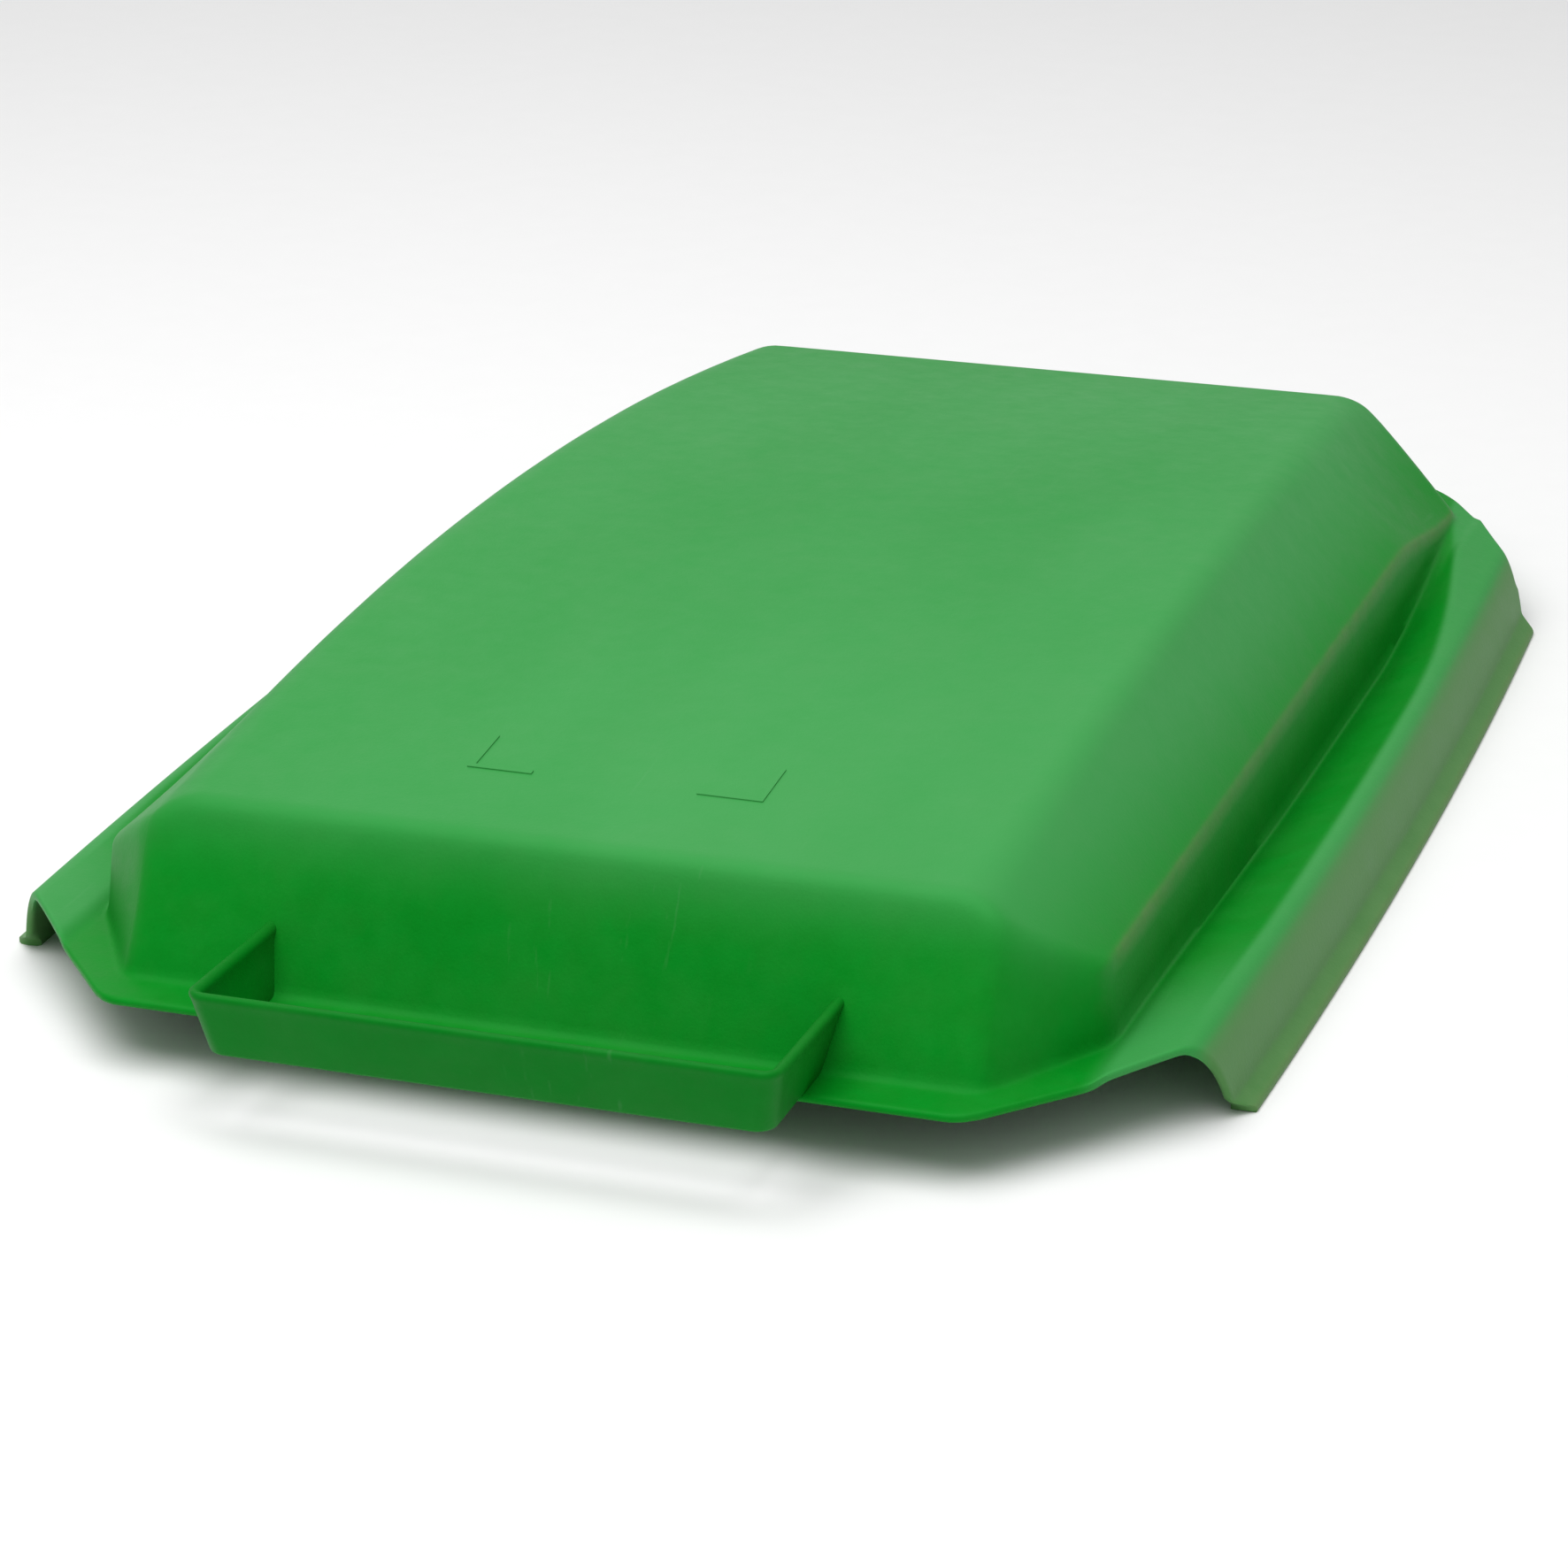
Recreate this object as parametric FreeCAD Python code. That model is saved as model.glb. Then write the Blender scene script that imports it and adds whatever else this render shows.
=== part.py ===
"""Lid of a two-wheeled waste bin, 360 litre class, with its hinge pins and rim buffers.

Millimetres.  X runs across the lid, Y from the front to the hinge, Z up.  The lid is laid out
from the edge of its front lip, on the plane of the skirts' feet, and is exported with the
origin under the middle of its whole length.
"""
import FreeCAD, Part
import math
import os

V = FreeCAD.Vector

# Moulding
WALL = 4.0                  # wall of the moulding
LIP_TOP = 33.0              # top of the front lip, where the side grooves start
REAR_EDGE_Y = 822.0         # length of the moulding, lip to rear edge
FOOT_HALF = 241.0           # half width where the steep side walls meet the flange

# Dome: the raised middle of the lid
SIDE_LEAN = 4.0             # the steep side walls lean in by this much
BREAK_HALF = FOOT_HALF - SIDE_LEAN      # half width at the crisp edge over them
BREAK_Z = 68.0
BREAK_DROP = 20.0           # how far that edge comes down at the rear corners
BREAK_DROP_Y = 620.0        # where it starts to
BREAK_ROUND = 6.0
INNER_ROUND = 2.0           # least rounding of the crisp edge on the inner faces
WALL_ROOT_Z = -20.0         # the steep walls are drawn down to here, then trimmed
CHAMFER_WIDTH = 49.0
TOP_HALF = BREAK_HALF - CHAMFER_WIDTH   # half width of the top panel at its front edge
TOP_SWELL = 0.0297          # how the panel widens and narrows towards the hinge
TOP_TAPER = 6.8e-5
TOP_ROUND = 30.0            # soft edge between the top panel and the broad side chamfers
FRONT_FOOT_Y = 22.7         # foot and top edge of the sloping front wall
FRONT_FACET_WIDTH = 41.0
FRONT_FOOT_HALF = FOOT_HALF - FRONT_FACET_WIDTH
FRONT_TOP_Y = 63.0
FRONT_TOP_Z = 105.5
ARCH_RISE = 0.12655         # slope of the arched top at its front edge
ARCH_FALL = 1.845e-4        # how that slope turns down towards the hinge
FACET_BREAK_Y = 95.0        # where the oblique front corner facets end on the crisp edge
FACET_TOP_OUT = 2.0
FACET_TOP_HALF = TOP_HALF + FACET_TOP_OUT
REAR_SHELF = 16.0           # shelf between the rear wall and the rear edge
REAR_LEAN = 11.0            # the rear wall leans forwards by this much
REAR_FOOT_Y = REAR_EDGE_Y - REAR_SHELF
REAR_TOP_Y = REAR_FOOT_Y - REAR_LEAN
REAR_TOP_Z = 98.0
REAR_FACET_WIDTH = 49.0     # small facets at the rear corners, across and along
REAR_FACET_LENGTH = 38.0
REAR_FACET_LEAN = 9.0
REAR_FOOT_HALF = FOOT_HALF - REAR_FACET_WIDTH
REAR_TOP_HALF = REAR_FOOT_HALF - REAR_FACET_LEAN
REAR_FACET_Y = REAR_FOOT_Y - REAR_FACET_LENGTH
DOME_FIRST_Y = -40.0        # the dome is lofted past its ends, which its walls then cut
DOME_LAST_Y = REAR_FOOT_Y + 60.0
DOME_STATIONS = 15

# Flange: front lip, side grooves, crests and skirts
GROOVE_WIDTH = 31.5         # from the dome's foot out to the crest
SKIRT_REACH = 26.2          # and from there to the outer edge of the skirt's foot
CREST_HALF = FOOT_HALF + GROOVE_WIDTH
CREST_Z = 39.5
SKIRT_FOOT_HALF = CREST_HALF + SKIRT_REACH
BOW_FIRST_Y = 86.0          # the sides bow outwards along the lid from here
SKIRT_SWELL = 0.0334
SKIRT_TAPER = 6.8e-5
GROOVE_RISE_X = 6.0         # short steep rise at the outer side of the groove
GROOVE_RISE_Z = 3.0
GROOVE_DIP = 9.0            # the grooves run this much deeper along the middle of the lid
GROOVE_DIP_Y = 90.0         # where they start to deepen
GROOVE_DEEP_Y = 415.0       # where they are deepest
GROOVE_FADE_Y = 560.0       # they rise from here, and close at the rear corners
GROOVE_END_Y = REAR_FOOT_Y - 44.0
REAR_SHELF_Z = 44.0         # flange round the rear wall
LIP_HALF = FRONT_FOOT_HALF  # straight part of the front lip
CREST_FRONT_Y = 79.0
SKIRT_END_OUT = 47.0        # the skirts' front ends are cut obliquely, this far out and back
SKIRT_END_BACK = 47.0
REAR_CORNER_WIDTH = 31.0    # the oblique rear corners, from the dome's side and along
REAR_CORNER_LENGTH = 134.0
REAR_EDGE_HALF = FOOT_HALF - REAR_CORNER_WIDTH
REAR_CORNER_Y = REAR_EDGE_Y - REAR_CORNER_LENGTH
REAR_LIP_Y = REAR_EDGE_Y - 65.0
REAR_LIP_DEPTH = 14.0       # downturned edge behind the dome
SKIRT_OUT = 21.0            # the skirt is part of an ellipse: its half width and half height
SKIRT_DOWN = 67.0
SKIRT_STEPS = 5
FLARE_Z = 4.5               # where the skirt turns out into its foot
FOOT_THICK = 3.0
LIP_CORNER_ROUND = 20.0
CREST_CORNER_ROUND = 6.0
SKIRT_CORNER_ROUNDS = (1.0, 20.0)
REAR_CORNER_ROUND = 35.0
CREASE = 1.5                # how far the groove's inner crease stands off its outer one
FLANGE_FIRST_Y = -2.0       # the flange is lofted past its ends, which its outline then cuts
FLANGE_LAST_Y = REAR_EDGE_Y + 8.0
FLANGE_STATIONS = 17

# Front grip: an open loop of strip in front of the lip
GRIP_TOP_Z = 63.8
GRIP_BOTTOM_Z = 36.3
GRIP_TOP_Y = -45.7
GRIP_BOTTOM_Y = -39.6
GRIP_TOP_HALF = 136.0
GRIP_BOTTOM_HALF = 130.0
GRIP_STRIP = 4.5
GRIP_CORNER = 9.0
GRIP_DROP = 2.0             # how much lower the arms end at the front wall

# Label field: raised corner marks on the top panel
LABEL_HALF = 70.5
LABEL_FRONT_Y = 118.5
LABEL_ARM = 31.0
LABEL_LINE = 3.0
LABEL_RELIEF = 0.6

# Stiffening ribs under the top panel
RIB_HEIGHT = 8.0
RIB_WIDTH = 3.0
RIB_SPREAD = 132.0          # the outermost lengthwise ribs stand this far from the middle
LONG_RIBS = 5
CROSS_RIBS = 4

# Hinge: a barrel under the rear edge on each side, and a hollow pin through each
HINGE_IN = 2.0              # the hinge's axis is this far inside the rear edge
HINGE_Y = REAR_EDGE_Y - HINGE_IN
HINGE_Z = 18.0
BARREL_R = 15.0
BARREL_LENGTH = 50.0
BARREL_INNER_X = 110.0
PIN_R = 10.0
PIN_CLEARANCE = 0.08        # running fit, on the radius
PIN_FREE_LENGTH = 40.0
PIN_BORE_R = 6.0
PIN_TIP_CHAMFER = 1.5
HEAD_R = 14.0
HEAD_THICK = 4.0
HEAD_ROUND = 1.0
HEAD_GAP = 0.4
GUSSET = 4.0                # webs from the barrel up to the flange
GUSSETS = 3
GUSSET_REACH = 7.5          # how far into the barrel's wall their tips run
PIN_START_X = BARREL_INNER_X - HEAD_GAP - HEAD_THICK
PIN_END_X = BARREL_INNER_X + BARREL_LENGTH + PIN_FREE_LENGTH
HEAD_SLOT = 3.0             # driver slot across the head
HEAD_SLOT_DEPTH = 1.5

# Rubber buffers pushed into rings under the flange, where the lid meets the bin's rim
BUFFER_OUT = 2.0            # from the crest, less the wall that the skirt takes up
BUFFER_X = CREST_HALF + BUFFER_OUT - WALL
BUFFER_FIRST_Y = 150.0
BUFFER_END = 8.0            # the last one stands this far before the rear corner
BUFFERS_PER_SIDE = 3
BUFFER_PITCH = (REAR_CORNER_Y - BUFFER_END - BUFFER_FIRST_Y) / (BUFFERS_PER_SIDE - 1)
BUFFER_HEAD_R = 9.0
BUFFER_HEAD_THICK = 6.0
BUFFER_HEAD_ROUND = 1.5
BUFFER_PLUG_R = 6.0
BUFFER_PLUG_GAP = 0.05
SOCKET_WALL = 3.0
SOCKET_Z = 26.0
SOCKET_TOP_Z = 33.0         # the ring ends inside the flange's wall
SOCKET_DEPTH = 5.0
PLUG_SHORT = 0.5            # the plug stops short of the socket's end

FAR = 1200.0                # larger than the lid, for cutting tools


def arch_z(y):
    """Height of the top panel along the lid."""
    run = y - FRONT_TOP_Y
    return FRONT_TOP_Z + ARCH_RISE * run - ARCH_FALL * run * run


def top_half(y):
    """Half width of the top panel along the lid."""
    run = y - FRONT_TOP_Y
    return TOP_HALF + TOP_SWELL * run - TOP_TAPER * run * run


def side_bow(y):
    """How far the crests and skirts stand outside their places at the front end."""
    run = y - BOW_FIRST_Y
    return SKIRT_SWELL * run - SKIRT_TAPER * run * run


def break_z(y):
    """Height of the crisp edge over the steep side walls, which comes down at the rear."""
    return BREAK_Z - BREAK_DROP * ease(y, BREAK_DROP_Y, GROOVE_END_Y)


def groove_z(y):
    """Height of the side groove's bottom along the lid."""
    bottom = LIP_TOP - GROOVE_DIP * ease(y, GROOVE_DIP_Y, GROOVE_DEEP_Y)
    return bottom + (REAR_SHELF_Z - bottom) * ease(y, GROOVE_FADE_Y, GROOVE_END_Y)


def ease(value, start, end):
    """0 before start, 1 after end, and smooth between them."""
    share = min(1.0, max(0.0, (value - start) / (end - start)))
    return share * share * (3 - 2 * share)


def stations(first, last, count):
    """Evenly spaced places, both ends included."""
    return [first + (last - first) * i / (count - 1) for i in range(count)]


def inset_outline(points, depth):
    """Move every side of a closed convex outline inwards by depth (clockwise points)."""
    moved = []
    for i, point in enumerate(points):
        before = (point - points[i - 1]).normalize()
        after = (points[(i + 1) % len(points)] - point).normalize()
        turn_in = V(before.z, 0, -before.x) + V(after.z, 0, -after.x)
        moved.append(point + turn_in * (depth / (1 + before.dot(after))))
    return moved


def rounded_wire(points, radii):
    """Closed wire of straight sides with an arc of the given radius at each corner."""
    corners = []
    for i, (corner, radius) in enumerate(zip(points, radii)):
        to_last = (points[i - 1] - corner).normalize()
        to_next = (points[(i + 1) % len(points)] - corner).normalize()
        half = to_last.getAngle(to_next) / 2
        reach = radius / math.tan(half)
        middle = (to_last + to_next).normalize() * (radius / math.sin(half) - radius)
        corners.append((corner + to_last * reach, corner + middle, corner + to_next * reach))
    edges = []
    for i, (start, middle, end) in enumerate(corners):
        if (end - start).Length > 1e-6:
            edges.append(Part.Arc(start, middle, end).toShape())
        edges.append(Part.LineSegment(end, corners[(i + 1) % len(corners)][0]).toShape())
    return Part.Wire(edges)


def slab(point, outward):
    """Large block that starts at a plane and fills the side that outward points to."""
    block = Part.makeBox(2 * FAR, 2 * FAR, FAR, V(-FAR, -FAR, 0))
    turn = FreeCAD.Rotation(V(0, 0, 1), outward)
    block.Placement = FreeCAD.Placement(point, turn)
    return block


def wall_tool(low, high, beside, inside, depth):
    """Block outside the wall through three points, the wall moved towards inside by depth."""
    outward = (high - low).cross(beside - low).normalize()
    if outward.dot(low - inside) < 0:
        outward = outward * -1
    return slab(low - outward * depth, outward)


def mirrored(shape):
    """Copy of a shape on the other side of the lid."""
    return shape.mirror(V(0, 0, 0), V(1, 0, 0))


def dome_section(y, depth):
    """Cross section of the dome at y, with its walls moved inwards by depth."""
    lean = (FOOT_HALF - BREAK_HALF) / (BREAK_Z - LIP_TOP)
    root_half = FOOT_HALF + lean * (LIP_TOP - WALL_ROOT_Z)
    half = [V(root_half, y, WALL_ROOT_Z), V(BREAK_HALF, y, break_z(y)), V(top_half(y), y, arch_z(y))]
    other = [V(-p.x, p.y, p.z) for p in half]
    outline = inset_outline(other + half[::-1], depth)
    outline[0].z = outline[-1].z = WALL_ROOT_Z
    rounds = [0.0, max(BREAK_ROUND - depth, INNER_ROUND), TOP_ROUND - depth]
    return rounded_wire(outline, rounds + rounds[::-1])


def dome_walls(depth):
    """Cutting blocks for the front and rear walls and the four corner facets."""
    inside = V(0, (FRONT_TOP_Y + REAR_TOP_Y) / 2, LIP_TOP)
    front_low = V(FRONT_FOOT_HALF, FRONT_FOOT_Y, LIP_TOP)
    front_high = V(FRONT_FOOT_HALF, FRONT_TOP_Y, FRONT_TOP_Z)
    rear_low = V(REAR_FOOT_HALF, REAR_FOOT_Y, LIP_TOP)
    rear_high = V(REAR_TOP_HALF, REAR_TOP_Y, REAR_TOP_Z)
    across = V(-FAR, 0, 0)
    front_facet = V(FACET_TOP_HALF, FRONT_TOP_Y, FRONT_TOP_Z)
    front_side = V(BREAK_HALF, FACET_BREAK_Y, BREAK_Z)
    rear_side = V(BREAK_HALF, REAR_FACET_Y, break_z(REAR_FACET_Y))
    facets = [
        wall_tool(front_low, front_facet, front_side, inside, depth),
        wall_tool(rear_low, rear_high, rear_side, inside, depth),
    ]
    ends = [
        wall_tool(front_low, front_high, front_low + across, inside, depth),
        wall_tool(rear_low, rear_high, rear_low + across, inside, depth),
    ]
    return ends + facets + [mirrored(tool) for tool in facets]


def dome(depth):
    """Solid dome with every wall moved inwards by depth, open ended below the lid."""
    places = stations(DOME_FIRST_Y, DOME_LAST_Y, DOME_STATIONS)
    body = Part.makeLoft([dome_section(y, depth) for y in places], True, False)
    for tool in dome_walls(depth):
        body = body.cut(tool)
    return body


def flange_section(y):
    """Closed cross section of the flange: lip, side grooves, crests and outer skirts."""
    bow = side_bow(y)
    bottom = groove_z(y)
    rise_z = bottom + GROOVE_RISE_Z * (1 - ease(y, GROOVE_FADE_Y, GROOVE_END_Y))
    foot = SKIRT_FOOT_HALF + bow
    outer = [(FOOT_HALF, bottom), (FOOT_HALF + GROOVE_RISE_X, rise_z)]
    inner = [(FOOT_HALF, bottom - WALL), (FOOT_HALF + GROOVE_RISE_X + CREASE, rise_z - WALL)]
    for turn in stations(0.0, math.acos(1 - (CREST_Z - FLARE_Z) / SKIRT_DOWN), SKIRT_STEPS):
        x = CREST_HALF + bow + SKIRT_OUT * math.sin(turn)
        z = CREST_Z - SKIRT_DOWN * (1 - math.cos(turn))
        outward = V(SKIRT_DOWN * math.sin(turn), 0, SKIRT_OUT * math.cos(turn)).normalize()
        outer.append((x, z))
        inner.append((x - WALL * outward.x, z - WALL * outward.z))
    top = outer + [(foot, FOOT_THICK)]
    under = [(foot, 0.0), (inner[-1][0], 0.0)] + inner[::-1]
    half = [V(x, y, z) for x, z in top + under]
    other = [V(-p.x, p.y, p.z) for p in half]
    outline = half[::-1] + other
    return Part.makePolygon(outline + outline[:1])


def plan_outline(inset):
    """Outline of the whole lid seen from above, as a tall block."""
    lip = LIP_HALF
    corners = [
        V(lip, 0, 0),
        V(CREST_HALF, CREST_FRONT_Y, 0),
        V(CREST_HALF + SKIRT_END_OUT, CREST_FRONT_Y + SKIRT_END_BACK, 0),
        V(CREST_HALF + SKIRT_END_OUT, REAR_CORNER_Y, 0),
        V(REAR_EDGE_HALF, REAR_EDGE_Y, 0),
    ]
    outline = [V(-p.x, p.y, p.z) for p in corners[::-1]] + corners
    rounds = [LIP_CORNER_ROUND, CREST_CORNER_ROUND, *SKIRT_CORNER_ROUNDS, REAR_CORNER_ROUND]
    wire = rounded_wire(outline, rounds[::-1] + rounds)
    if inset:
        wire = wire.makeOffset2D(-inset)
    wire.translate(V(0, 0, -FAR / 2))
    return Part.Face(wire).extrude(V(0, 0, FAR))


def socket(x, y):
    """Ring under the flange that holds one rubber buffer."""
    ring = Part.makeCylinder(BUFFER_PLUG_R + SOCKET_WALL, SOCKET_TOP_Z - SOCKET_Z, V(x, y, SOCKET_Z))
    hole = Part.makeCylinder(BUFFER_PLUG_R, SOCKET_DEPTH, V(x, y, SOCKET_Z))
    return ring, hole


def buffer_places():
    """Middles of the rubber buffers on both sides of the lid."""
    rows = [BUFFER_FIRST_Y + BUFFER_PITCH * i for i in range(BUFFERS_PER_SIDE)]
    return [(side * (BUFFER_X + side_bow(y)), y) for side in (-1, 1) for y in rows]


def below_flange(places):
    """Block that ends the dome's walls halfway through the flange's wall."""
    line = Part.BSplineCurve()
    ends = [DOME_FIRST_Y - 10.0] + places + [DOME_LAST_Y + 10.0]
    line.interpolate([V(-FAR, y, groove_z(y) - WALL / 2) for y in ends])
    first = V(-FAR, ends[0], -FAR)
    last = V(-FAR, ends[-1], -FAR)
    sides = [
        Part.LineSegment(line.EndPoint, last).toShape(),
        Part.LineSegment(last, first).toShape(),
        Part.LineSegment(first, line.StartPoint).toShape(),
    ]
    outline = Part.Wire([line.toShape()] + sides)
    return Part.Face(outline).extrude(V(2 * FAR, 0, 0))


def lid_shell():
    """The moulding: dome, flange, skirts, rear edge and buffer sockets in one wall."""
    places = stations(FLANGE_FIRST_Y, FLANGE_LAST_Y, FLANGE_STATIONS)
    flange = Part.makeLoft([flange_section(y) for y in places], True, False)
    flange = flange.common(plan_outline(0.0))
    shell = flange.fuse(dome(0.0).cut(below_flange(places)))
    edge = plan_outline(0.0).cut(plan_outline(WALL))
    edge_z = CREST_Z - WALL - REAR_LIP_DEPTH
    edge_box = Part.makeBox(2 * SKIRT_FOOT_HALF, FAR, REAR_LIP_DEPTH + WALL / 2)
    edge_box.translate(V(-SKIRT_FOOT_HALF, REAR_LIP_Y, edge_z))
    shell = shell.fuse(edge.common(edge_box))
    for x, y in buffer_places():
        ring, hole = socket(x, y)
        shell = shell.fuse(ring).cut(hole)
    notch = barrel(BARREL_R, PIN_START_X - HEAD_GAP, PIN_END_X - PIN_START_X + 2 * HEAD_GAP)
    return shell.cut([dome(WALL), notch, mirrored(notch)]).removeSplitter()


def loop_block(inset):
    """Leaning block with rounded front corners that the grip's loop is cut from."""
    rise = GRIP_TOP_Z - GRIP_BOTTOM_Z
    layers = []
    for z in (LIP_TOP, GRIP_TOP_Z):
        share = (z - GRIP_BOTTOM_Z) / rise
        half = GRIP_BOTTOM_HALF + (GRIP_TOP_HALF - GRIP_BOTTOM_HALF) * share - inset
        front = GRIP_BOTTOM_Y + (GRIP_TOP_Y - GRIP_BOTTOM_Y) * share + inset
        back = FRONT_TOP_Y
        corners = [V(-half, back, z), V(-half, front, z), V(half, front, z), V(half, back, z)]
        corner = GRIP_CORNER - inset
        layers.append(rounded_wire(corners, [0.0, corner, corner, 0.0]))
    return Part.makeLoft(layers, True, True)


def front_grip():
    """Loop of strip in front of the lip, its two arms growing out of the front wall."""
    loop = loop_block(0.0).cut(loop_block(GRIP_STRIP))
    band_low = Part.makeBox(2 * FAR, FAR, FAR, V(-FAR, -FAR, GRIP_BOTTOM_Z - FAR))
    slope = V(0, GRIP_DROP, FRONT_TOP_Y - GRIP_TOP_Y).normalize()
    above = slab(V(0, GRIP_TOP_Y, GRIP_TOP_Z), slope)
    return loop.cut(band_low).cut(above).cut(dome(0.0))


def label_marks():
    """Raised corner marks of the label field, following the top panel."""
    relief = dome(-LABEL_RELIEF).cut(dome(0.0))
    marks = []
    for side in (-1, 1):
        corner_x = side * LABEL_HALF
        across = Part.makeBox(LABEL_ARM, LABEL_LINE, FAR)
        across.translate(V(corner_x - (LABEL_ARM if side > 0 else 0), LABEL_FRONT_Y, 0))
        along = Part.makeBox(LABEL_LINE, LABEL_ARM, FAR)
        along.translate(V(corner_x - (LABEL_LINE if side > 0 else 0), LABEL_FRONT_Y, 0))
        marks.append(relief.common(across.fuse(along)))
    return Part.makeCompound([m.removeSplitter() for m in marks])


def underside_ribs():
    """Low ribs crossing under the top panel, following its inner face and walls."""
    band = dome(WALL).cut(dome(WALL + RIB_HEIGHT))
    length = REAR_FOOT_Y - FRONT_FOOT_Y
    plates = []
    for x in stations(-RIB_SPREAD, RIB_SPREAD, LONG_RIBS):
        plates.append(Part.makeBox(RIB_WIDTH, FAR, FAR, V(x - RIB_WIDTH / 2, 0, LIP_TOP)))
    for row in range(CROSS_RIBS):
        y = FRONT_FOOT_Y + length * (row + 1) / (CROSS_RIBS + 1)
        plates.append(Part.makeBox(2 * FAR, RIB_WIDTH, FAR, V(-FAR, y, LIP_TOP)))
    grid = plates[0].multiFuse(plates[1:])
    return band.common(grid).removeSplitter()


def barrel(radius, start, length):
    """Cylinder on the right hinge's axis."""
    return Part.makeCylinder(radius, length, V(start, HINGE_Y, HINGE_Z), V(1, 0, 0))


def hinge_arm(shell):
    """Right hinge barrel with its gussets under the flange's rear edge."""
    arm = barrel(BARREL_R, BARREL_INNER_X, BARREL_LENGTH)
    under = REAR_SHELF_Z - WALL / 2
    side = [
        V(0, REAR_FOOT_Y - WALL / 2, under),
        V(0, REAR_FOOT_Y - WALL / 2, under - WALL),
        V(0, HINGE_Y - GUSSET_REACH, HINGE_Z - GUSSET_REACH),
        V(0, HINGE_Y, HINGE_Z),
        V(0, REAR_EDGE_Y - WALL / 2, under),
    ]
    gusset = Part.Face(Part.makePolygon(side + side[:1])).extrude(V(GUSSET, 0, 0))
    last = BARREL_INNER_X + BARREL_LENGTH - GUSSET
    for x in stations(BARREL_INNER_X, last, GUSSETS):
        placed = gusset.copy()
        placed.translate(V(x, 0, 0))
        arm = arm.fuse(placed)
    arm = arm.cut(barrel(PIN_R + PIN_CLEARANCE, BARREL_INNER_X - 1, BARREL_LENGTH + 2))
    return arm.cut(shell).removeSplitter()


def hinge_pin():
    """Right hinge pin: hollow, with a head inboard of the barrel and a free end outboard."""
    length = PIN_END_X - PIN_START_X
    head = barrel(HEAD_R, PIN_START_X, HEAD_THICK)
    head = head.makeFillet(HEAD_ROUND, edges_at_x(head, PIN_START_X))
    shank = barrel(PIN_R, PIN_START_X, length)
    shank = shank.makeChamfer(PIN_TIP_CHAMFER, edges_at_x(shank, PIN_END_X))
    bore = barrel(PIN_BORE_R, PIN_START_X - 1, length + 2)
    slot = Part.makeBox(HEAD_SLOT_DEPTH, 3 * HEAD_R, HEAD_SLOT)
    slot.translate(V(PIN_START_X, HINGE_Y - 1.5 * HEAD_R, HINGE_Z - HEAD_SLOT / 2))
    return head.fuse(shank).cut([bore, slot]).removeSplitter()


def edges_at_x(shape, x):
    """Round edges of a shape that lie in the plane at x."""
    return [e for e in shape.Edges if abs(e.BoundBox.XMin - x) + abs(e.BoundBox.XMax - x) < 0.1]


def rim_buffer(x, y):
    """Rubber buffer: a plug in its socket and a rounded head that meets the bin's rim."""
    plug_r = BUFFER_PLUG_R - BUFFER_PLUG_GAP
    plug = Part.makeCylinder(plug_r, SOCKET_DEPTH - PLUG_SHORT, V(x, y, SOCKET_Z))
    low = SOCKET_Z - BUFFER_HEAD_THICK
    head = Part.makeCylinder(BUFFER_HEAD_R, BUFFER_HEAD_THICK, V(x, y, low))
    tip = [e for e in head.Edges if abs(e.CenterOfMass.z - low) < 0.1]
    head = head.makeFillet(BUFFER_HEAD_ROUND, tip)
    return head.fuse(plug).removeSplitter()


def build():
    """Every piece of the lid, by name."""
    shell = lid_shell()
    arm = hinge_arm(shell)
    pin = hinge_pin()
    return {
        "lid_shell": shell,
        "front_grip": front_grip(),
        "label_corner_marks": label_marks(),
        "underside_ribs": underside_ribs(),
        "hinge_barrel_right": arm,
        "hinge_barrel_left": mirrored(arm),
        "hinge_pin_right": pin,
        "hinge_pin_left": mirrored(pin),
        "rim_buffers": Part.makeCompound([rim_buffer(x, y) for x, y in buffer_places()]),
    }


os.makedirs("parts", exist_ok=True)
middle_y = (GRIP_TOP_Y + HINGE_Y + BARREL_R) / 2
for name, shape in build().items():
    shape.translate(V(0, -middle_y, 0))
    shape.exportStep("parts/" + name + ".step")
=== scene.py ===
"""Looks of a wheeled bin's lid: the green moulding, its grip, buffers, ribs, barrels and hinge pins.

Metres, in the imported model's frame.  X runs across the lid, Y from the grip to the hinge, Z up.
Places along the lid are measured from the edge of the front lip, which is where the packed
shell starts, and called runs.
"""
import math

import bmesh
import bpy
import numpy as np
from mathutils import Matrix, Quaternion, Vector


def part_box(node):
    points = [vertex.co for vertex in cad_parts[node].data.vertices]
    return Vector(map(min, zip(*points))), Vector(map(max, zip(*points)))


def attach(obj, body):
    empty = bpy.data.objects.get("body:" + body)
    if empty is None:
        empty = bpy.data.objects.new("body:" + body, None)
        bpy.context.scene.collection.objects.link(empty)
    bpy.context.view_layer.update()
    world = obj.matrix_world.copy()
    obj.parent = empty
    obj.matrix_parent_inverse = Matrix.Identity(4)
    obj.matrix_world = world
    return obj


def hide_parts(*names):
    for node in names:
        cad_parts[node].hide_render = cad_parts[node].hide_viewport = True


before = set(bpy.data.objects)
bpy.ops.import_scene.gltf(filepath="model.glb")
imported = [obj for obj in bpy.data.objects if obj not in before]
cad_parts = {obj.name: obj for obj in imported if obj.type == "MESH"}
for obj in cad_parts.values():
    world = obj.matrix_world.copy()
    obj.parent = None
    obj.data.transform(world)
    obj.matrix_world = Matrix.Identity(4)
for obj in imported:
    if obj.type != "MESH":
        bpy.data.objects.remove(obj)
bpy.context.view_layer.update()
SHELL_LOW, SHELL_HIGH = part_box("lid_shell")
GRIP_LOW, GRIP_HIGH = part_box("front_grip")
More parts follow.
